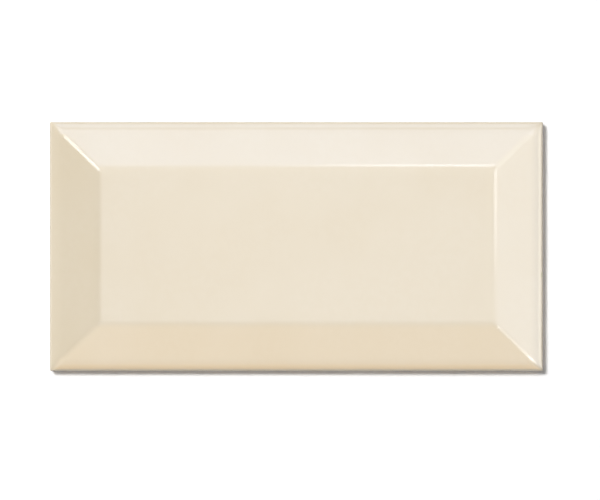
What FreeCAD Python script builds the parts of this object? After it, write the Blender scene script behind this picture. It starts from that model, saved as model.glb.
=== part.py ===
import FreeCAD, Part
import math
import os
import Sketcher
from FreeCAD import Vector

# Subway wall tile: one pressed, glazed and fired ceramic piece, lying on its back.
# X runs along the tile, Y across it, Z up out of the glazed face.
# The origin is the centre of the back, on the plane that the back rests on.
# All lengths are millimetres and all angles are degrees.

SIZES = {
    # outline
    "tile_length": 149.0,
    "tile_width": 75.2,
    "tile_thickness": 8.0,
    "outline_corner": 0.4,
    "back_arris": 0.3,
    # bevels: plan widths from the outline to where bevel and flat centre would meet, and their drop
    "end_bevel": 14.7,
    "side_bevel": 14.2,
    "bevel_drop": 3.0,
    # rounding of the four ridges between bevels, as their corner in plan at the foot of the bevels
    "ridge_corner": 1.9,
    # soft edge between the bevels and the flat centre, and the corner that it leaves on the flat centre
    "crown_radius": 16.0,
    "flat_corner": 0.5,
    # rim: the bevel rolls over through a wide blend, a short steep facet and a tight nose to the side wall
    "rim_blend_radius": 8.0,
    "rim_facet": 0.25,
    "rim_angle": 36.0,
    "rim_nose_radius": 1.5,
    # how far the blend's own tangent line runs above the bevel, so that they cross at a slight angle
    "rim_lift": 0.003,
    # key pattern in the back, which the adhesive grips
    "key_columns": 12,
    "key_rows": 6,
    "key_border": 5.0,
    "key_rib": 1.8,
    "key_depth": 0.7,
    "key_draft": 20.0,
}

# Slack by which cutting profiles reach past the solid.
CUT_MARGIN = 2.0

# How far a face may stray from a height and still lie at it.
LEVEL_TOLERANCE = 1e-6


def make_sheet(doc):
    """Put each driving size in a row of the sheet, with its name as the cell's alias."""
    sheet = doc.addObject("Spreadsheet::Sheet", "sizes")
    for row, (name, value) in enumerate(SIZES.items(), start=1):
        sheet.set(f"A{row}", name)
        sheet.set(f"B{row}", str(value))
        sheet.setAlias(f"B{row}", name)
    doc.recompute()
    return sheet


def origin_feature(body, role):
    """The body's own origin plane or axis that has this role."""
    return next(item for item in body.Origin.OriginFeatures if item.Role == role)


def add_sketch(body, name, role):
    """A sketch on one of the body's own origin planes."""
    sketch = body.newObject("Sketcher::SketchObject", name)
    sketch.AttachmentSupport = [(origin_feature(body, role), "")]
    sketch.MapMode = "FlatFace"
    return sketch


def bind(sketch, index, name, expression):
    """Name one dimension of a sketch and drive it by an expression."""
    sketch.renameConstraint(index, name)
    sketch.setExpression(f"Constraints.{name}", expression)


def rounded_rectangle(body, name, span_x, span_y, corner, height="0"):
    """A level rectangle with four equal round corners, centred on the origin, at a height."""
    sketch = add_sketch(body, name, "XY_Plane")
    sketch.setExpression("AttachmentOffset.Base.z", height)
    half_x, half_y, radius = 30.0, 20.0, 5.0
    inner_x, inner_y = half_x - radius, half_y - radius
    normal = Vector(0, 0, 1)
    sides = [
        (Vector(-inner_x, -half_y, 0), Vector(inner_x, -half_y, 0)),
        (Vector(half_x, -inner_y, 0), Vector(half_x, inner_y, 0)),
        (Vector(inner_x, half_y, 0), Vector(-inner_x, half_y, 0)),
        (Vector(-half_x, inner_y, 0), Vector(-half_x, -inner_y, 0)),
    ]
    centres = [
        Vector(inner_x, -inner_y, 0),
        Vector(inner_x, inner_y, 0),
        Vector(-inner_x, inner_y, 0),
        Vector(-inner_x, -inner_y, 0),
    ]
    lines = [sketch.addGeometry(Part.LineSegment(*ends)) for ends in sides]
    arcs = []
    for quarter, centre in enumerate(centres):
        start = (quarter - 1) * math.pi / 2
        circle = Part.Circle(centre, normal, radius)
        arcs.append(sketch.addGeometry(Part.ArcOfCircle(circle, start, start + math.pi / 2)))
    for quarter in range(4):
        after = lines[(quarter + 1) % 4]
        sketch.addConstraint(Sketcher.Constraint("Tangent", lines[quarter], 2, arcs[quarter], 1))
        sketch.addConstraint(Sketcher.Constraint("Tangent", arcs[quarter], 2, after, 1))
    sketch.addConstraint(Sketcher.Constraint("Horizontal", lines[0]))
    sketch.addConstraint(Sketcher.Constraint("Vertical", lines[1]))
    sketch.addConstraint(Sketcher.Constraint("Horizontal", lines[2]))
    sketch.addConstraint(Sketcher.Constraint("Vertical", lines[3]))
    for arc in arcs[1:]:
        sketch.addConstraint(Sketcher.Constraint("Equal", arcs[0], arc))
    sketch.addConstraint(Sketcher.Constraint("Symmetric", arcs[0], 3, arcs[2], 3, -1, 1))
    across = sketch.addConstraint(Sketcher.Constraint("DistanceX", lines[3], 1, lines[1], 1, 2 * half_x))
    along = sketch.addConstraint(Sketcher.Constraint("DistanceY", lines[0], 1, lines[2], 1, 2 * half_y))
    bend = sketch.addConstraint(Sketcher.Constraint("Radius", arcs[0], radius))
    bind(sketch, across, "span_x", span_x)
    bind(sketch, along, "span_y", span_y)
    bind(sketch, bend, "corner", corner)
    return sketch


def rectangle(body, name, span_x, span_y):
    """A level rectangle at height zero, centred on the sketch's own origin."""
    sketch = add_sketch(body, name, "XY_Plane")
    corners = [Vector(-3, -2, 0), Vector(3, -2, 0), Vector(3, 2, 0), Vector(-3, 2, 0)]
    sides = [
        sketch.addGeometry(Part.LineSegment(start, end))
        for start, end in zip(corners, corners[1:] + corners[:1])
    ]
    for side, after in zip(sides, sides[1:] + sides[:1]):
        sketch.addConstraint(Sketcher.Constraint("Coincident", side, 2, after, 1))
    for side in sides[0::2]:
        sketch.addConstraint(Sketcher.Constraint("Horizontal", side))
    for side in sides[1::2]:
        sketch.addConstraint(Sketcher.Constraint("Vertical", side))
    sketch.addConstraint(Sketcher.Constraint("Symmetric", sides[0], 1, sides[2], 1, -1, 1))
    across = sketch.addConstraint(Sketcher.Constraint("DistanceX", sides[0], 1, sides[0], 2, 6))
    along = sketch.addConstraint(Sketcher.Constraint("DistanceY", sides[1], 1, sides[1], 2, 4))
    bind(sketch, across, "span_x", span_x)
    bind(sketch, along, "span_y", span_y)
    return sketch


def level_face(shape, height):
    """The name of the flat, level face at this height."""
    for number, face in enumerate(shape.Faces, start=1):
        box = face.BoundBox
        if abs(box.ZMin - height) < LEVEL_TOLERANCE and abs(box.ZMax - height) < LEVEL_TOLERANCE:
            return f"Face{number}"
    raise ValueError(f"no level face at {height}")


def ease_loop(body, doc, kind, name, height, size_property, size):
    """Round or chamfer every edge of the level face at this height."""
    doc.recompute()
    base = body.Tip
    easing = body.newObject(kind, name)
    easing.Base = (base, [level_face(base.Shape, height)])
    easing.setExpression(size_property, size)
    return easing


def add_slab(body):
    """The square-sided slab under the bevels."""
    outline = rounded_rectangle(
        body, "outline", "sizes.tile_length", "sizes.tile_width", "sizes.outline_corner"
    )
    slab = body.newObject("PartDesign::Pad", "slab")
    slab.Profile = outline
    slab.setExpression("Length", "sizes.tile_thickness - sizes.bevel_drop")
    return slab


def add_crown(body):
    """The four bevels, as a loft from the outline up to the edge of the flat centre.

    Between the two sections each ridge is a narrow cone. The corner of the upper section leaves room
    for the soft edge to turn: what remains of it on the flat centre is flat_corner.
    """
    foot = rounded_rectangle(
        body,
        "bevel_foot",
        "sizes.tile_length",
        "sizes.tile_width",
        "sizes.ridge_corner",
        "sizes.tile_thickness - sizes.bevel_drop",
    )
    edge_reach = "sizes.crown_radius * tan(atan(sizes.bevel_drop / sizes.side_bevel) / 2)"
    head = rounded_rectangle(
        body,
        "bevel_head",
        "sizes.tile_length - 2 * sizes.end_bevel",
        "sizes.tile_width - 2 * sizes.side_bevel",
        f"sizes.flat_corner + {edge_reach}",
        "sizes.tile_thickness",
    )
    crown = body.newObject("PartDesign::AdditiveLoft", "crown")
    crown.Profile = foot
    crown.Sections = [head]
    crown.Ruled = True
    return crown


def rim_profile(body, name, role, span, bevel):
    """The section that is cut away outside the finished rim, at one end or side of the tile.

    The sketch's own X runs out towards the rim and its Y is height. The rim comes up the side wall,
    turns over a round nose, climbs a steep facet and blends into the bevel. The guide line of the bevel
    lies rim_lift above the bevel itself, which gives the cut a clean edge to end at.
    """
    sketch = add_sketch(body, name, role)
    half = SIZES[span] / 2
    top = SIZES["tile_thickness"] + SIZES["rim_lift"]
    drop = SIZES["bevel_drop"]
    width = SIZES[bevel]
    steep = math.radians(SIZES["rim_angle"])
    nose = SIZES["rim_nose_radius"]
    blend = SIZES["rim_blend_radius"]
    slope = math.atan(drop / width)

    # first guess of each point, which the constraints below then hold
    nose_reach = nose * math.tan((math.pi / 2 - steep) / 2)
    blend_reach = blend * math.tan((steep - slope) / 2)
    band = (nose_reach + SIZES["rim_facet"] + blend_reach) * math.cos(steep)
    knee = Vector(half - band, top - drop + band * math.tan(slope), 0)
    toe = Vector(half, knee.y - band * math.tan(steep), 0)
    facet_run = Vector(math.cos(steep), -math.sin(steep), 0)
    facet_out = Vector(math.sin(steep), math.cos(steep), 0)
    bevel_run = Vector(math.cos(slope), -math.sin(slope), 0)
    wall_end = toe - Vector(0, nose_reach, 0)
    facet_foot = toe - facet_run * nose_reach
    facet_head = knee + facet_run * blend_reach
    bevel_end = knee - bevel_run * blend_reach
    nose_centre = Vector(half - nose, wall_end.y, 0)
    blend_centre = facet_head - facet_out * blend

    normal = Vector(0, 0, 1)
    bevel_foot = Vector(half, top - drop, 0)
    bevel_head = Vector(half - width, top, 0)
    bevel_line = sketch.addGeometry(Part.LineSegment(bevel_foot, bevel_head), True)
    wall_line = sketch.addGeometry(Part.LineSegment(Vector(half, 0, 0), toe), True)
    facet_line = sketch.addGeometry(Part.LineSegment(toe, knee), True)
    nose_circle = Part.Circle(nose_centre, normal, nose)
    nose_arc = sketch.addGeometry(Part.ArcOfCircle(nose_circle, 0, math.pi / 2 - steep))
    facet = sketch.addGeometry(Part.LineSegment(facet_foot, facet_head))
    blend_circle = Part.Circle(blend_centre, normal, blend)
    blend_arc = sketch.addGeometry(Part.ArcOfCircle(blend_circle, math.pi / 2 - steep, math.pi / 2 - slope))
    above = Vector(bevel_end.x, top + CUT_MARGIN, 0)
    outside = Vector(half + CUT_MARGIN, top + CUT_MARGIN, 0)
    beside = Vector(half + CUT_MARGIN, wall_end.y, 0)
    riser = sketch.addGeometry(Part.LineSegment(bevel_end, above))
    cover = sketch.addGeometry(Part.LineSegment(above, outside))
    face = sketch.addGeometry(Part.LineSegment(outside, beside))
    floor = sketch.addGeometry(Part.LineSegment(beside, wall_end))

    def hold(*words):
        return sketch.addConstraint(Sketcher.Constraint(*words))

    # closed outline of the cut
    hold("Tangent", nose_arc, 2, facet, 1)
    hold("Tangent", facet, 2, blend_arc, 1)
    hold("Coincident", blend_arc, 2, riser, 1)
    hold("Coincident", riser, 2, cover, 1)
    hold("Coincident", cover, 2, face, 1)
    hold("Coincident", face, 2, floor, 1)
    hold("Coincident", floor, 2, nose_arc, 1)
    hold("Vertical", riser)
    hold("Horizontal", cover)
    hold("Vertical", face)
    hold("Horizontal", floor)

    # guide lines: side wall, raised bevel and rim facet
    hold("Vertical", wall_line)
    hold("PointOnObject", wall_line, 1, -1)
    hold("Coincident", wall_line, 2, facet_line, 1)
    hold("PointOnObject", facet_line, 2, bevel_line)
    hold("PointOnObject", facet, 1, facet_line)
    hold("PointOnObject", facet, 2, facet_line)
    hold("Tangent", nose_arc, 1, wall_line)
    hold("Tangent", blend_arc, 2, bevel_line)

    # sizes
    bind(sketch, hold("DistanceX", -1, 1, wall_line, 1, half), "half_span", f"sizes.{span} / 2")
    bind(sketch, hold("DistanceX", -1, 1, bevel_line, 1, half), "outline_edge", f"sizes.{span} / 2")
    bind(
        sketch,
        hold("DistanceY", -1, 1, bevel_line, 1, top - drop),
        "bevel_foot",
        "sizes.tile_thickness + sizes.rim_lift - sizes.bevel_drop",
    )
    bind(sketch, hold("DistanceX", bevel_line, 2, bevel_line, 1, width), "bevel_width", f"sizes.{bevel}")
    bind(sketch, hold("DistanceY", bevel_line, 1, bevel_line, 2, drop), "bevel_drop", "sizes.bevel_drop")
    bind(sketch, hold("Distance", facet, SIZES["rim_facet"]), "rim_facet", "sizes.rim_facet")
    bind(
        sketch,
        hold("Angle", facet_line, 1, wall_line, 2, math.pi / 2 + steep),
        "rim_angle",
        "90 + sizes.rim_angle",
    )
    bind(sketch, hold("Radius", nose_arc, nose), "nose", "sizes.rim_nose_radius")
    bind(sketch, hold("Radius", blend_arc, blend), "blend", "sizes.rim_blend_radius")
    hold("DistanceY", bevel_line, 2, cover, 1, CUT_MARGIN)
    hold("DistanceX", wall_line, 1, face, 1, CUT_MARGIN)
    return sketch


def cut_rim(body, name, role, mirror_role, span, bevel):
    """Cut the rim's section along one edge of the tile and mirror it to the opposite edge."""
    profile = rim_profile(body, f"{name}_profile", role, span, bevel)
    rim = body.newObject("PartDesign::Pocket", name)
    rim.Profile = profile
    rim.SideType = "Two sides"
    rim.Type = "ThroughAll"
    rim.Type2 = "ThroughAll"
    opposite = body.newObject("PartDesign::Mirrored", f"{name}_opposite")
    opposite.Originals = [rim]
    opposite.MirrorPlane = (origin_feature(body, mirror_role), [""])
    body.Tip = opposite
    return opposite


def key_cell_span(span, count):
    """Expression for one side of a key cell: what border and ribs leave, shared by the cells."""
    return f"(sizes.{span} - 2 * sizes.key_border - (sizes.{count} - 1) * sizes.key_rib) / sizes.{count}"


def add_key(body):
    """The shallow key in the back: drafted cells in rows and columns, with ribs between them."""
    cell_x = key_cell_span("tile_length", "key_columns")
    cell_y = key_cell_span("tile_width", "key_rows")
    sketch = rectangle(body, "key_cell", cell_x, cell_y)
    middle_x = f"sizes.key_border + ({cell_x}) / 2 - sizes.tile_length / 2"
    middle_y = f"sizes.key_border + ({cell_y}) / 2 - sizes.tile_width / 2"
    sketch.setExpression("AttachmentOffset.Base.x", middle_x)
    sketch.setExpression("AttachmentOffset.Base.y", middle_y)
    cell = body.newObject("PartDesign::Pocket", "first_key_cell")
    cell.Profile = sketch
    cell.Reversed = True
    cell.setExpression("Length", "sizes.key_depth")
    cell.setExpression("TaperAngle", "-sizes.key_draft")
    key = body.newObject("PartDesign::LinearPattern", "key")
    key.Originals = [cell]
    key.Direction = (origin_feature(body, "X_Axis"), [""])
    key.setExpression("Length", f"({cell_x} + sizes.key_rib) * (sizes.key_columns - 1)")
    key.setExpression("Occurrences", "sizes.key_columns")
    key.Direction2 = (origin_feature(body, "Y_Axis"), [""])
    key.setExpression("Length2", f"({cell_y} + sizes.key_rib) * (sizes.key_rows - 1)")
    key.setExpression("Occurrences2", "sizes.key_rows")
    body.Tip = key
    return key


def make_tile(doc):
    """The whole tile as one body: slab, bevels, soft edges, rim and key."""
    body = doc.addObject("PartDesign::Body", "tile")
    body.Label = "tile"
    add_slab(body)
    add_crown(body)
    face_height = SIZES["tile_thickness"]
    ease_loop(body, doc, "PartDesign::Fillet", "crown_edge", face_height, "Radius", "sizes.crown_radius")
    ease_loop(body, doc, "PartDesign::Chamfer", "back_edge", 0.0, "Size", "sizes.back_arris")
    cut_rim(body, "end_rim", "XZ_Plane", "YZ_Plane", "tile_length", "end_bevel")
    cut_rim(body, "side_rim", "YZ_Plane", "XZ_Plane", "tile_width", "side_bevel")
    add_key(body)
    return body


def check_document(doc):
    """Stop if any object failed to compute."""
    for item in doc.Objects:
        if "Invalid" in item.State or "Error" in item.State:
            raise RuntimeError(f"{item.Name} failed: {item.State}")


def write_parts(bodies):
    """Write each piece to its own STEP file, after checking its solid."""
    os.makedirs("parts", exist_ok=True)
    for body in bodies:
        shape = body.Shape
        if shape.isNull() or not shape.isValid():
            raise RuntimeError(f"{body.Label} has no valid shape")
        if len(shape.Solids) != 1:
            raise RuntimeError(f"{body.Label} is not one solid")
        shape.exportStep(f"parts/{body.Label}.step")


document = FreeCAD.newDocument("subway_tile")
make_sheet(document)
tile = make_tile(document)
document.recompute()
check_document(document)
write_parts([tile])
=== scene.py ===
import math
import bpy
import numpy as np
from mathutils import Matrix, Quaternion, Vector, noise


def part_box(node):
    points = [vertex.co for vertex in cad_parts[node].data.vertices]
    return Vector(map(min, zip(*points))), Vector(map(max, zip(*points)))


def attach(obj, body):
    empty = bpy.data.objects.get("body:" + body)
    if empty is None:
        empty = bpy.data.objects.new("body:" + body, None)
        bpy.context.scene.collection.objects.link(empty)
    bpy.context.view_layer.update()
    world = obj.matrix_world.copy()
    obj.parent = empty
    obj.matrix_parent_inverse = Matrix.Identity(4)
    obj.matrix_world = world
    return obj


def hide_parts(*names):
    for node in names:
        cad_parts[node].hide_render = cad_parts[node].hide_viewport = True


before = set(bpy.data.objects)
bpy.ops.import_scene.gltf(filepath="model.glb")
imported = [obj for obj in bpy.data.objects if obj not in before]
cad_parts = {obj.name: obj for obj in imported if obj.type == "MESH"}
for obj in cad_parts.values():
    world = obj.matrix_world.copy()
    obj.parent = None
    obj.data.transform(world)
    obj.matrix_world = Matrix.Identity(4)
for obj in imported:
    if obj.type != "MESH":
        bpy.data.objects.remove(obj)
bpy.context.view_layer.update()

# Lengths are metres and angles are radians. X runs along the tile, Y across it, Z up.

# sizes of the tile's overall box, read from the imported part
BOX_LOW, BOX_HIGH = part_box("tile")
LENGTH = BOX_HIGH[0] - BOX_LOW[0]
WIDTH = BOX_HIGH[1] - BOX_LOW[1]
THICKNESS = BOX_HIGH[2] - BOX_LOW[2]

# sizes of the section and the back, the same as the part's own
OUTLINE_CORNER = 0.0004
BACK_ARRIS = 0.0003
END_BEVEL = 0.0147
SIDE_BEVEL = 0.0142
BEVEL_DROP = 0.003
CROWN_RADIUS = 0.016
FLAT_CORNER = 0.0005
RIDGE_CORNER = 0.0019
RIM_BLEND_RADIUS = 0.008
RIM_FACET = 0.00025
RIM_ANGLE = math.radians(36)
RIM_NOSE_RADIUS = 0.0015
KEY_COLUMNS = 12
KEY_ROWS = 6
KEY_BORDER = 0.005
KEY_RIB = 0.0018
KEY_DEPTH = 0.0007
KEY_CORNER = 0.0012
KEY_SLOPE_WIDTH = 0.0005

# how far the back's mesh grid stays inside the arris
BACK_INSET = 0.0006

# glaze: the height where it stops on the side walls, how far that line wanders and how soft it is, how
# far the glaze stands out there, and how much its surface waves
GLAZE_LINE = 0.0020
GLAZE_LINE_WANDER = 0.00035
GLAZE_LINE_SOFTNESS = 0.00012
GLAZE_STEP = 0.0001
GLAZE_WAVE = 0.000004

# widths of those wanderings and waves, the broad one first
GLAZE_LINE_WIDTHS = (0.011, 0.004)
GLAZE_WAVE_WIDTHS = (0.021, 0.008)


def smoothstep(low, high, value):
    """0 below low, 1 above high and a smooth rise between them."""
    share = np.clip((value - low) / (high - low), 0.0, 1.0)
    return share * share * (3 - 2 * share)


class Section:
    """The tile's cross-section, from a side wall in to the flat centre."""

    def __init__(self, bevel_width):
        self.slope = math.atan(BEVEL_DROP / bevel_width)
        nose_reach = RIM_NOSE_RADIUS * math.tan((math.pi / 2 - RIM_ANGLE) / 2)
        blend_reach = RIM_BLEND_RADIUS * math.tan((RIM_ANGLE - self.slope) / 2)
        band = (nose_reach + RIM_FACET + blend_reach) * math.cos(RIM_ANGLE)
        knee = THICKNESS - BEVEL_DROP + band * math.tan(self.slope)
        self.toe = knee - band * math.tan(RIM_ANGLE)
        self.nose_z = self.toe - nose_reach
        facet_head = band - blend_reach * math.cos(RIM_ANGLE)
        self.blend_x = facet_head + RIM_BLEND_RADIUS * math.sin(RIM_ANGLE)
        self.blend_z = knee - blend_reach * math.sin(RIM_ANGLE) - RIM_BLEND_RADIUS * math.cos(RIM_ANGLE)
        self.crown_x = bevel_width + CROWN_RADIUS * math.tan(self.slope / 2)
        self.crown_z = THICKNESS - CROWN_RADIUS

    def nose_top(self):
        """Height at which the nose turns into the rim's facet."""
        return self.nose_z + RIM_NOSE_RADIUS * math.cos(RIM_ANGLE)

    def blend_height(self, tilt):
        """Height of the rim's blend where its surface has this tilt."""
        return self.blend_z + RIM_BLEND_RADIUS * math.cos(tilt)

    def crown_height(self, tilt):
        """Height of the soft edge of the flat centre where its surface has this tilt."""
        return self.crown_z + CROWN_RADIUS * math.cos(tilt)

    def offset(self, z):
        """How far in from the outline the surface is at this height."""
        if z <= self.nose_z:
            return 0.0
        if z <= self.nose_top():
            turn = math.asin(min(1.0, (z - self.nose_z) / RIM_NOSE_RADIUS))
            return RIM_NOSE_RADIUS * (1 - math.cos(turn))
        if z <= self.blend_height(RIM_ANGLE):
            return (z - self.toe) / math.tan(RIM_ANGLE)
        if z <= self.blend_height(self.slope):
            tilt = math.acos(min(1.0, (z - self.blend_z) / RIM_BLEND_RADIUS))
            return self.blend_x - RIM_BLEND_RADIUS * math.sin(tilt)
        if z <= self.crown_height(self.slope):
            return (z - THICKNESS + BEVEL_DROP) / math.tan(self.slope)
        tilt = math.acos(min(1.0, (z - self.crown_z) / CROWN_RADIUS))
        return self.crown_x - CROWN_RADIUS * math.sin(tilt)


END = Section(END_BEVEL)
SIDE = Section(SIDE_BEVEL)

# how many strips the mesh has on each stretch of the section
ARRIS_STRIPS = 3
NOSE_STRIPS = 9
FACET_STRIPS = 1
BLEND_STRIPS = 12
BEVEL_STRIPS = 9
CROWN_STRIPS = 16
WALL_STRIPS = 16
CORNER_STRIPS = 10


def section_heights():
    """Heights of the mesh's rings from the side wall's top to the flat centre."""
    heights = []
    for turn in np.linspace(0, math.pi / 2 - RIM_ANGLE, NOSE_STRIPS + 1):
        heights.append(SIDE.nose_z + RIM_NOSE_RADIUS * math.sin(turn))
    heights += list(np.linspace(heights[-1], SIDE.blend_height(RIM_ANGLE), FACET_STRIPS + 1))[1:]
    for tilt in np.linspace(RIM_ANGLE, SIDE.slope, BLEND_STRIPS + 1)[1:]:
        heights.append(SIDE.blend_height(tilt))
    heights += list(np.linspace(heights[-1], SIDE.crown_height(SIDE.slope), BEVEL_STRIPS + 1))[1:]
    for tilt in np.linspace(SIDE.slope, 0, CROWN_STRIPS + 1)[1:]:
        heights.append(SIDE.crown_height(tilt))
    return heights


def corner_radius(z):
    """Plan radius of the tile's corner at a height: small on the wall and the flat, full on the ridge."""
    if z <= SIDE.nose_z:
        return OUTLINE_CORNER
    ridge_foot = SIDE.blend_height(SIDE.slope)
    if z <= ridge_foot:
        share = math.sin((z - SIDE.nose_z) / (ridge_foot - SIDE.nose_z) * math.pi / 2)
        return OUTLINE_CORNER + (RIDGE_CORNER - OUTLINE_CORNER) * share
    if z <= SIDE.crown_height(SIDE.slope):
        return RIDGE_CORNER
    tilt = math.acos(min(1.0, (z - SIDE.crown_z) / CROWN_RADIUS))
    return FLAT_CORNER + (RIDGE_CORNER - FLAT_CORNER) * tilt / SIDE.slope


# places along a key cell, from its near rib's middle to its far one, closer where its wall turns
CELL_MARKS = (0.0, 0.0007, 0.0009, 0.0011, 0.0014, 0.0019, 0.0026)


def key_fractions(span, count):
    """Mesh lines across the back as fractions of the back grid's span, laid out cell by cell."""
    cell = (span - 2 * KEY_BORDER - (count - 1) * KEY_RIB) / count
    pitch = cell + KEY_RIB
    start = KEY_BORDER - KEY_RIB / 2
    places = [0.0, start / 3, 2 * start / 3]
    for index in range(count):
        near = start + index * pitch
        far = near + pitch
        places += [near + mark for mark in CELL_MARKS]
        places.append((near + far) / 2)
        places += [far - mark for mark in reversed(CELL_MARKS[1:])]
    places += [span - start, span - 2 * start / 3, span - start / 3, span]
    return np.array(places) / span


ALONG = key_fractions(LENGTH, KEY_COLUMNS)
ACROSS = key_fractions(WIDTH, KEY_ROWS)


def ring(half_x, half_y, corner, z):
    """One closed loop of points round the tile, anticlockwise from the lower left corner's end."""
    core_x = half_x - corner
    core_y = half_y - corner
    long_side = core_x * (2 * ALONG - 1)
    short_side = core_y * (2 * ACROSS - 1)
    turn = np.linspace(0, math.pi / 2, CORNER_STRIPS + 1)[1:-1]
    x = np.concatenate([
        long_side,
        core_x + corner * np.sin(turn),
        np.full(len(short_side), half_x),
        core_x + corner * np.cos(turn),
        -long_side,
        -core_x - corner * np.sin(turn),
        np.full(len(short_side), -half_x),
        -core_x - corner * np.cos(turn),
    ])
    y = np.concatenate([
        np.full(len(long_side), -half_y),
        -core_y - corner * np.cos(turn),
        short_side,
        core_y + corner * np.sin(turn),
        np.full(len(long_side), half_y),
        core_y + corner * np.cos(turn),
        -short_side,
        -core_y - corner * np.sin(turn),
    ])
    return np.column_stack([x, y, np.full(len(x), z)])


def sheet_grid(half_x, half_y, z):
    """A grid of points over a level rectangle, row by row."""
    x, y = np.meshgrid(half_x * (2 * ALONG - 1), half_y * (2 * ACROSS - 1))
    return np.column_stack([x.ravel(), y.ravel(), np.full(x.size, z)])


def grid_border():
    """For each point of a ring, the grid point that it meets: corners take their whole arc."""
    columns = len(ALONG)
    rows = len(ACROSS)
    grid = np.arange(columns * rows).reshape(rows, columns)
    bends = CORNER_STRIPS - 1
    border = list(grid[0]) + [grid[0, -1]] * bends
    border += list(grid[:, -1]) + [grid[-1, -1]] * bends
    border += list(grid[-1, ::-1]) + [grid[-1, 0]] * bends
    border += list(grid[::-1, 0]) + [grid[0, 0]] * bends
    return border


def grid_faces(start, upward):
    """Quads over one grid whose first point has this number."""
    columns = len(ALONG)
    faces = []
    for row in range(len(ACROSS) - 1):
        for column in range(columns - 1):
            corner = start + row * columns + column
            quad = (corner, corner + 1, corner + columns + 1, corner + columns)
            faces.append(quad if upward else quad[::-1])
    return faces


def strip_faces(first, second):
    """Faces between two loops of point numbers; a repeated number leaves a triangle."""
    faces = []
    count = len(first)
    for index in range(count):
        after = (index + 1) % count
        quad = (first[index], first[after], second[after], second[index])
        distinct = tuple(dict.fromkeys(quad))
        if len(distinct) > 2:
            faces.append(distinct)
    return faces


def soft_noise(x, y, z, scale, seed):
    """Smooth noise between about -1 and 1, whose bumps are about scale wide."""
    return noise.noise(Vector((x / scale + seed, y / scale - seed, z / scale + 2 * seed)))


def glaze_line(x, y):
    """Height at which the glaze stops on the side wall at this place."""
    broad, narrow = GLAZE_LINE_WIDTHS
    wander = soft_noise(x, y, 0, broad, 3.1) + 0.5 * soft_noise(x, y, 0, narrow, 7.7)
    return GLAZE_LINE + GLAZE_LINE_WANDER * wander


def glaze_sag(x, y, z):
    """How far the glaze's surface lies below the true section at this place on the face."""
    broad, narrow = GLAZE_WAVE_WIDTHS
    wave = soft_noise(x, y, 0, broad, 1.3) + 0.4 * soft_noise(x, y, 0, narrow, 5.9)
    return GLAZE_WAVE * (1.4 + wave) * float(smoothstep(SIDE.nose_z, SIDE.nose_top(), z))


def key_depth_at(x, y):
    """Depth of the key at a place on the back: cells with round corners and soft edges."""
    cell_x = (LENGTH - 2 * KEY_BORDER - (KEY_COLUMNS - 1) * KEY_RIB) / KEY_COLUMNS
    cell_y = (WIDTH - 2 * KEY_BORDER - (KEY_ROWS - 1) * KEY_RIB) / KEY_ROWS
    pitch_x = cell_x + KEY_RIB
    pitch_y = cell_y + KEY_RIB
    column = np.clip(np.floor((x + pitch_x * KEY_COLUMNS / 2) / pitch_x), 0, KEY_COLUMNS - 1)
    row = np.clip(np.floor((y + pitch_y * KEY_ROWS / 2) / pitch_y), 0, KEY_ROWS - 1)
    from_x = np.abs(x - (column + 0.5 - KEY_COLUMNS / 2) * pitch_x) - cell_x / 2 + KEY_CORNER
    from_y = np.abs(y - (row + 0.5 - KEY_ROWS / 2) * pitch_y) - cell_y / 2 + KEY_CORNER
    outside = np.hypot(np.maximum(from_x, 0), np.maximum(from_y, 0))
    inside = np.minimum(np.maximum(from_x, from_y), 0)
    distance = outside + inside - KEY_CORNER
    return KEY_DEPTH * smoothstep(0.0, KEY_SLOPE_WIDTH, -distance)


def back_sheet(half_x, half_y):
    """The back's grid of points, with the key pressed into it."""
    inset = BACK_ARRIS + BACK_INSET
    back = sheet_grid(half_x - inset, half_y - inset, 0.0)
    back[:, 2] = key_depth_at(back[:, 0], back[:, 1])
    return back


def tile_rings(half_x, half_y):
    """Loops of points round the back's arris, up the side walls and over the bevels to the flat centre."""
    rings = []
    for share in np.linspace(0, 1, ARRIS_STRIPS + 1):
        eased = BACK_ARRIS * (1 - math.sin(share * math.pi / 2))
        z = BACK_ARRIS * (1 - math.cos(share * math.pi / 2))
        rings.append(ring(half_x - eased, half_y - eased, OUTLINE_CORNER, z))
    for z in np.linspace(BACK_ARRIS, min(END.nose_z, SIDE.nose_z), WALL_STRIPS + 1)[1:]:
        rings.append(ring(half_x, half_y, OUTLINE_CORNER, z))
    for z in section_heights()[1:]:
        rings.append(ring(half_x - END.offset(z), half_y - SIDE.offset(z), corner_radius(z), z))
    return rings


def flat_sheet(last_ring):
    """The grid of points over the flat centre, inside the last loop's round corners."""
    half_x = last_ring[:, 0].max() - FLAT_CORNER
    half_y = last_ring[:, 1].max() - FLAT_CORNER
    return sheet_grid(half_x, half_y, THICKNESS)


def tile_faces(back_size, ring_size, ring_count):
    """Faces over the back, between each loop and the next, and over the flat centre."""
    border = grid_border()
    flat_start = back_size + ring_size * ring_count
    loops = [border]
    for start in range(back_size, flat_start, ring_size):
        loops.append(list(range(start, start + ring_size)))
    loops.append([flat_start + index for index in border])
    faces = grid_faces(0, upward=False)
    for low, high in zip(loops, loops[1:]):
        faces += strip_faces(low, high)
    faces += grid_faces(flat_start, upward=True)
    return faces


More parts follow.
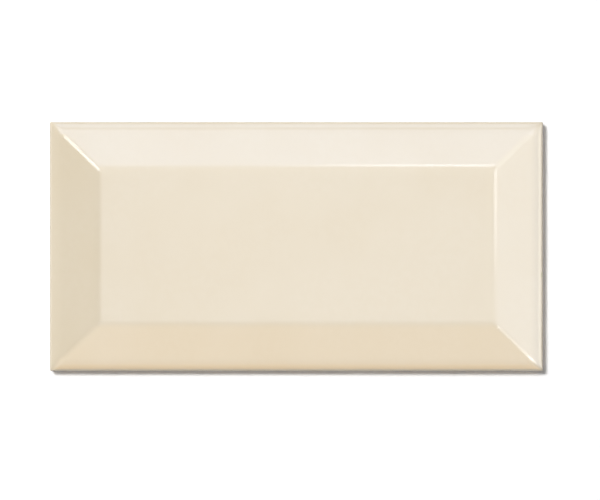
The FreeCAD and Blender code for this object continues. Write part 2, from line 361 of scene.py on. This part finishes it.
def lay_glaze(points, back_size):
    """Step the side walls and wave the face as the glaze does, and say how glazed each point is."""
    glazed = np.zeros(len(points))
    for index in range(back_size, len(points)):
        x, y, z = points[index]
        line = glaze_line(x, y)
        cover = float(smoothstep(line - GLAZE_LINE_SOFTNESS, line + GLAZE_LINE_SOFTNESS, z))
        glazed[index] = cover
        recess = GLAZE_STEP * (1 - cover)
        if z < SIDE.nose_z:
            points[index, 0] -= math.copysign(recess, x) * (abs(x) > LENGTH / 2 - OUTLINE_CORNER)
            points[index, 1] -= math.copysign(recess, y) * (abs(y) > WIDTH / 2 - OUTLINE_CORNER)
        else:
            points[index, 2] -= glaze_sag(x, y, z)
    return glazed


def build_tile():
    """The whole tile as one closed mesh, with a point attribute that is 1 where it is glazed."""
    back = back_sheet(LENGTH / 2, WIDTH / 2)
    rings = tile_rings(LENGTH / 2, WIDTH / 2)
    points = np.vstack([back] + rings + [flat_sheet(rings[-1])])
    faces = tile_faces(len(back), len(rings[-1]), len(rings))
    glazed = lay_glaze(points, len(back))

    mesh = bpy.data.meshes.new("tile_glazed")
    mesh.from_pydata(points.tolist(), [], faces)
    mesh.validate()
    layer = mesh.attributes.new("glaze_cover", "FLOAT", "POINT")
    layer.data.foreach_set("value", glazed)
    mesh.shade_smooth()
    piece = bpy.data.objects.new("tile_glazed", mesh)
    bpy.context.scene.collection.objects.link(piece)
    return piece


# colours as linear light: the cream glaze with its paler and warmer drifts, the bare fired body with its
# grains, the white kiln wash that is left on the key's ribs, and one small stain in the right rim's glaze
GLAZE_COLOUR = (0.790, 0.690, 0.525, 1.0)
GLAZE_PALE = (0.802, 0.706, 0.548, 1.0)
GLAZE_WARM = (0.780, 0.674, 0.502, 1.0)
BODY_COLOUR = (0.66, 0.54, 0.41, 1.0)
BODY_DARK = (0.50, 0.38, 0.27, 1.0)
BODY_PALE = (0.76, 0.66, 0.54, 1.0)
WASH_COLOUR = (0.80, 0.77, 0.71, 1.0)
STAIN_COLOUR = (0.60, 0.58, 0.33, 1.0)
STAIN_PLACE = (0.0741, -0.0086, 0.0042)
STAIN_SIZE = (0.0005, 0.0011, 0.0010)
STAIN_DEPTH = 0.6

# how wide the patches of each colour are
DRIFT_WIDTH = 0.028
MOTTLE_WIDTH = 0.0022
GRAIN_WIDTH = 0.0006
CLOUD_WIDTH = 0.012
SPECK_WIDTH = 0.0011
WASH_WIDTH = 0.005

# heights between which the kiln wash on the ribs fades out
WASH_FULL = 0.00005
WASH_END = 0.00025

# gloss: the glaze's roughness between its clearest and its haziest patches, and the bare body's
GLAZE_CLEAR = 0.09
GLAZE_HAZY = 0.12
HAZE_WIDTH = 0.009
BODY_ROUGHNESS = 0.88
GLAZE_IOR = 1.55

# depth and width of the surface relief
GLAZE_RIPPLE = 0.000005
GLAZE_RIPPLE_WIDTH = 0.0045
BODY_GRAIN = 0.00003
BODY_GRAIN_WIDTH = 0.00035


def add_node(tree, kind, **settings):
    """A shader node with its sockets and properties set by name."""
    node = tree.nodes.new(kind)
    for name, value in settings.items():
        if name in node.inputs:
            node.inputs[name].default_value = value
        else:
            setattr(node, name, value)
    return node


def noise_output(tree, place, width, detail=3.0):
    """Noise between 0 and 1 whose features are about this wide."""
    texture = add_node(tree, "ShaderNodeTexNoise", Scale=1 / width, Detail=detail)
    tree.links.new(place, texture.inputs["Vector"])
    return texture.outputs["Fac"]


def remap(tree, value, from_low, from_high, to_low, to_high):
    """A value carried smoothly from one range to another, held at its ends."""
    node = add_node(tree, "ShaderNodeMapRange", interpolation_type="SMOOTHSTEP")
    node.inputs["From Min"].default_value = from_low
    node.inputs["From Max"].default_value = from_high
    node.inputs["To Min"].default_value = to_low
    node.inputs["To Max"].default_value = to_high
    tree.links.new(value, node.inputs["Value"])
    return node.outputs["Result"]


def product(tree, first, second):
    """Two values multiplied; the second may be a plain number."""
    node = add_node(tree, "ShaderNodeMath", operation="MULTIPLY")
    tree.links.new(first, node.inputs[0])
    if isinstance(second, float):
        node.inputs[1].default_value = second
    else:
        tree.links.new(second, node.inputs[1])
    return node.outputs[0]


def blend_colours(tree, share, low, high):
    """A colour between two others; each is a plain colour or a node's output."""
    node = add_node(tree, "ShaderNodeMix", data_type="RGBA")
    tree.links.new(share, node.inputs[0])
    for socket, colour in ((node.inputs[6], low), (node.inputs[7], high)):
        if isinstance(colour, tuple):
            socket.default_value = colour
        else:
            tree.links.new(colour, socket)
    return node.outputs[2]


def blend_values(tree, share, low, high):
    """A value between two others, which are plain numbers or node outputs."""
    node = add_node(tree, "ShaderNodeMix", data_type="FLOAT")
    tree.links.new(share, node.inputs[0])
    for socket, value in ((node.inputs[2], low), (node.inputs[3], high)):
        if isinstance(value, float):
            socket.default_value = value
        else:
            tree.links.new(value, socket)
    return node.outputs[0]


def glaze_colour(tree, place):
    """The glaze's colour: cream with slow drifts, a fine mottle and the stain in the right rim."""
    drift = remap(tree, noise_output(tree, place, DRIFT_WIDTH, 2.0), 0.35, 0.65, 0.0, 1.0)
    mottle = remap(tree, noise_output(tree, place, MOTTLE_WIDTH, 4.0), 0.3, 0.7, 0.0, 1.0)
    slow = blend_colours(tree, drift, GLAZE_WARM, GLAZE_PALE)
    colour = blend_colours(tree, remap(tree, mottle, 0.0, 1.0, 0.35, 0.75), slow, GLAZE_COLOUR)
    offset = add_node(tree, "ShaderNodeVectorMath", operation="SUBTRACT")
    offset.inputs[1].default_value = STAIN_PLACE
    tree.links.new(place, offset.inputs[0])
    scaled = add_node(tree, "ShaderNodeVectorMath", operation="DIVIDE")
    scaled.inputs[1].default_value = STAIN_SIZE
    tree.links.new(offset.outputs[0], scaled.inputs[0])
    reach = add_node(tree, "ShaderNodeVectorMath", operation="LENGTH")
    tree.links.new(scaled.outputs[0], reach.inputs[0])
    stain = remap(tree, reach.outputs["Value"], 0.3, 1.3, STAIN_DEPTH, 0.0)
    return blend_colours(tree, stain, colour, STAIN_COLOUR)


def body_colour(tree, place):
    """The bare body's colour: buff with darker and paler grains, and kiln wash on the ribs it stood on."""
    grain = remap(tree, noise_output(tree, place, GRAIN_WIDTH, 5.0), 0.35, 0.65, 0.0, 1.0)
    cloud = remap(tree, noise_output(tree, place, CLOUD_WIDTH, 3.0), 0.3, 0.7, 0.15, 0.6)
    speck = remap(tree, noise_output(tree, place, SPECK_WIDTH, 1.0), 0.66, 0.74, 0.0, 0.7)
    colour = blend_colours(tree, cloud, BODY_COLOUR, BODY_PALE)
    colour = blend_colours(tree, product(tree, grain, 0.35), colour, BODY_DARK)
    colour = blend_colours(tree, speck, colour, BODY_DARK)
    parts = add_node(tree, "ShaderNodeSeparateXYZ")
    tree.links.new(place, parts.inputs["Vector"])
    low = remap(tree, parts.outputs["Z"], WASH_FULL, WASH_END, 1.0, 0.0)
    patchy = remap(tree, noise_output(tree, place, WASH_WIDTH, 5.0), 0.38, 0.6, 0.0, 0.75)
    return blend_colours(tree, product(tree, low, patchy), colour, WASH_COLOUR)


def tile_material():
    """Glossy cream glaze over bare pressed ceramic, parted by the mesh's own glaze line."""
    material = bpy.data.materials.new("cream_glaze_on_ceramic")
    material.use_nodes = True
    tree = material.node_tree
    shader = tree.nodes["Principled BSDF"]
    link = tree.links.new
    place = add_node(tree, "ShaderNodeTexCoord").outputs["Object"]
    cover = add_node(tree, "ShaderNodeAttribute", attribute_name="glaze_cover").outputs["Fac"]

    colour = blend_colours(tree, cover, body_colour(tree, place), glaze_colour(tree, place))
    link(colour, shader.inputs["Base Color"])

    haze = remap(tree, noise_output(tree, place, HAZE_WIDTH, 3.0), 0.3, 0.7, GLAZE_CLEAR, GLAZE_HAZY)
    link(blend_values(tree, cover, BODY_ROUGHNESS, haze), shader.inputs["Roughness"])
    shader.inputs["IOR"].default_value = GLAZE_IOR

    ripple = product(tree, noise_output(tree, place, GLAZE_RIPPLE_WIDTH, 1.0), GLAZE_RIPPLE)
    grain = product(tree, noise_output(tree, place, BODY_GRAIN_WIDTH, 4.0), BODY_GRAIN)
    relief = add_node(tree, "ShaderNodeBump", Strength=1.0, Distance=1.0)
    link(blend_values(tree, cover, grain, ripple), relief.inputs["Height"])
    link(relief.outputs["Normal"], shader.inputs["Normal"])
    return material


tile = build_tile()
tile.data.materials.append(tile_material())
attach(tile, "root")
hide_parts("tile")

# the photograph's frame and where the tile's outline lies in it, in pixels
FRAME_WIDTH = 600
FRAME_HEIGHT = 500
OUTLINE_LEFT = 50.0
OUTLINE_RIGHT = 543.0
OUTLINE_TOP = 122.0
OUTLINE_BOTTOM = 371.0

# the camera's height above the side walls in metres, and its sensor's width in millimetres
CAMERA_DISTANCE = 1.2
SENSOR = 36.0


def add_camera():
    """A camera that looks straight down on the tile, framed as the photograph is."""
    pixel = LENGTH / (OUTLINE_RIGHT - OUTLINE_LEFT)
    shift_x = (FRAME_WIDTH / 2 - (OUTLINE_LEFT + OUTLINE_RIGHT) / 2) * pixel
    shift_y = -(FRAME_HEIGHT / 2 - (OUTLINE_TOP + OUTLINE_BOTTOM) / 2) * pixel
    data = bpy.data.cameras.new("camera")
    camera = bpy.data.objects.new("camera", data)
    bpy.context.scene.collection.objects.link(camera)
    camera.location = (shift_x, shift_y, SIDE.nose_z + CAMERA_DISTANCE)
    data.sensor_width = SENSOR
    data.lens = SENSOR * CAMERA_DISTANCE / (FRAME_WIDTH * pixel)
    data.clip_start = 0.01
    data.clip_end = 20
    bpy.context.scene.camera = camera


# the floor's colour: what it bounces on to the tile, and what the camera and the glaze see of it
FLOOR_COLOUR = (0.50, 0.50, 0.50, 1.0)
FLOOR_SEEN_COLOUR = (1.15, 1.15, 1.15, 1.0)
FLOOR_REACH = 6.0


def add_floor():
    """A plain white floor that keeps the tile's shadow."""
    mesh = bpy.data.meshes.new("floor")
    signs = ((-1, -1), (1, -1), (1, 1), (-1, 1))
    mesh.from_pydata([(x * FLOOR_REACH, y * FLOOR_REACH, 0) for x, y in signs], [], [(0, 1, 2, 3)])
    floor = bpy.data.objects.new("floor", mesh)
    bpy.context.scene.collection.objects.link(floor)
    material = bpy.data.materials.new("white_floor")
    material.use_nodes = True
    tree = material.node_tree
    shader = tree.nodes["Principled BSDF"]
    shader.inputs["Roughness"].default_value = 1.0
    shader.inputs["Specular IOR Level"].default_value = 0.0
    path = add_node(tree, "ShaderNodeLightPath")
    mirrored = add_node(tree, "ShaderNodeMath", operation="MAXIMUM")
    tree.links.new(path.outputs["Is Glossy Ray"], mirrored.inputs[0])
    tree.links.new(path.outputs["Is Transmission Ray"], mirrored.inputs[1])
    seen = add_node(tree, "ShaderNodeMath", operation="MAXIMUM")
    tree.links.new(path.outputs["Is Camera Ray"], seen.inputs[0])
    tree.links.new(mirrored.outputs[0], seen.inputs[1])
    colour = blend_colours(tree, seen.outputs[0], FLOOR_COLOUR, FLOOR_SEEN_COLOUR)
    tree.links.new(colour, shader.inputs["Base Color"])
    floor.data.materials.append(material)


def edge_ramp(tree, value, edge):
    """1 in the middle of a span from 0 to 1, falling to 0 within this share of it at each end."""
    folded = add_node(tree, "ShaderNodeMath", operation="PINGPONG")
    folded.inputs[1].default_value = 0.5
    tree.links.new(value, folded.inputs[0])
    return remap(tree, folded.outputs[0], 0.0, edge, 0.0, 1.0)


def soften_edges(lamp_data, edge):
    """Fade a rectangular light out towards its edges, as a softbox does."""
    lamp_data.use_nodes = True
    tree = lamp_data.node_tree
    place = add_node(tree, "ShaderNodeNewGeometry").outputs["Parametric"]
    parts = add_node(tree, "ShaderNodeSeparateXYZ")
    tree.links.new(place, parts.inputs["Vector"])
    across = edge_ramp(tree, parts.outputs["X"], edge)
    along = edge_ramp(tree, parts.outputs["Y"], edge)
    tree.links.new(product(tree, across, along), tree.nodes["Emission"].inputs["Strength"])


# how far the lights stand from the tile; the key stands far off, so that it lights the tile evenly
SOFTBOX_DISTANCE = 1.35
KEY_DISTANCE = 4.0


def add_light(name, lean_x, lean_y, wide, deep, radiance, edge=0.0, matt=False, square=False):
    """A rectangular light that faces the tile from a lean in degrees off the vertical, towards +X and +Y.

    It spans wide by deep degrees, the second in the direction of its lean, or along Y if it is set
    square to the tile. It either lights matt surfaces or shows as a reflection in the glaze.
    """
    distance = KEY_DISTANCE if matt else SOFTBOX_DISTANCE
    data = bpy.data.lights.new(name, "AREA")
    data.shape = "RECTANGLE"
    data.size = 2 * distance * math.tan(math.radians(wide / 2))
    data.size_y = 2 * distance * math.tan(math.radians(deep / 2))
    strength = max(radiance)
    data.energy = strength * math.pi * data.size * data.size_y
    data.color = [channel / strength for channel in radiance]
    if edge:
        soften_edges(data, edge)
    lamp = bpy.data.objects.new(name, data)
    bpy.context.scene.collection.objects.link(lamp)
    direction = Vector((math.tan(math.radians(lean_x)), math.tan(math.radians(lean_y)), 1)).normalized()
    lamp.location = direction * distance
    facing = direction.to_track_quat("Z", "Y")
    if square:
        facing = facing @ Quaternion((0, 0, 1), math.pi / 2 - math.atan2(direction.y, direction.x))
    lamp.rotation_euler = facing.to_euler()
    lamp.visible_camera = False
    lamp.visible_diffuse = matt
    lamp.visible_glossy = not matt


# the studio around the tile: pale walls down to the horizon, a dim ceiling above them
WALL_RADIANCE = 0.38
CEILING_RADIANCE = 0.1
WALL_TOP = math.radians(25)
CEILING_EDGE = math.radians(60)


def add_world():
    """Studio surroundings whose radiance falls off from the walls to the ceiling."""
    world = bpy.data.worlds.new("studio")
    bpy.context.scene.world = world
    world.use_nodes = True
    tree = world.node_tree
    background = tree.nodes["Background"]
    background.inputs["Color"].default_value = (1, 1, 1, 1)
    place = add_node(tree, "ShaderNodeTexCoord")
    parts = add_node(tree, "ShaderNodeSeparateXYZ")
    tree.links.new(place.outputs["Generated"], parts.inputs["Vector"])
    height = parts.outputs["Z"]
    radiance = remap(
        tree, height, math.sin(WALL_TOP), math.sin(CEILING_EDGE), WALL_RADIANCE, CEILING_RADIANCE
    )
    tree.links.new(radiance, background.inputs["Strength"])


add_camera()
add_floor()
add_world()
# the light that casts the shadow, from the upper left
add_light("key", -21.5, 20.5, 19, 19, (32, 32, 32), edge=0.15, matt=True)
# softboxes that the glaze reflects: one overhead, one on each side, and small ones for the edges
add_light("over", 6, 4, 46, 50, (3.0, 3.1, 3.3), edge=0.35, square=True)
add_light("right", 44, 0, 76, 64, (5.0, 5.2, 5.6), edge=0.3)
add_light("right_low", 76, 0, 80, 25, (6.4, 6.2, 5.8), edge=0.2)
add_light("left_low", -80, 0, 80, 9, (2.0, 2.0, 2.1), edge=0.2)
add_light("top", 0, 36, 76, 44, (3.1, 3.7, 4.9), edge=0.3)
add_light("top_low", 0, 67, 90, 28, (2.3, 2.9, 4.1), edge=0.3)
add_light("bottom", 0, -36, 80, 54, (3.4, 2.7, 2.0), edge=0.28)
add_light("bottom_low", 0, -66, 90, 30, (3.5, 2.0, 0.6), edge=0.2)
add_light("line_top", 5.5, 21.2, 10, 5, (4.6, 4.7, 5.3), edge=0.2)
add_light("line_right", 17.2, 5, 11, 8, (4.5, 4.6, 4.9), edge=0.2)
add_light("top_left", -15.2, 13.0, 9, 13, (8.0, 8.5, 9.0), edge=0.2)
add_light("bottom_right", 28.4, -22.7, 8, 25, (7.0, 7.2, 7.5), edge=0.1)
add_light("top_right", 19, 17, 16, 16, (1.8, 2.1, 2.4), edge=0.4)

bpy.context.scene.view_settings.view_transform = "Standard"
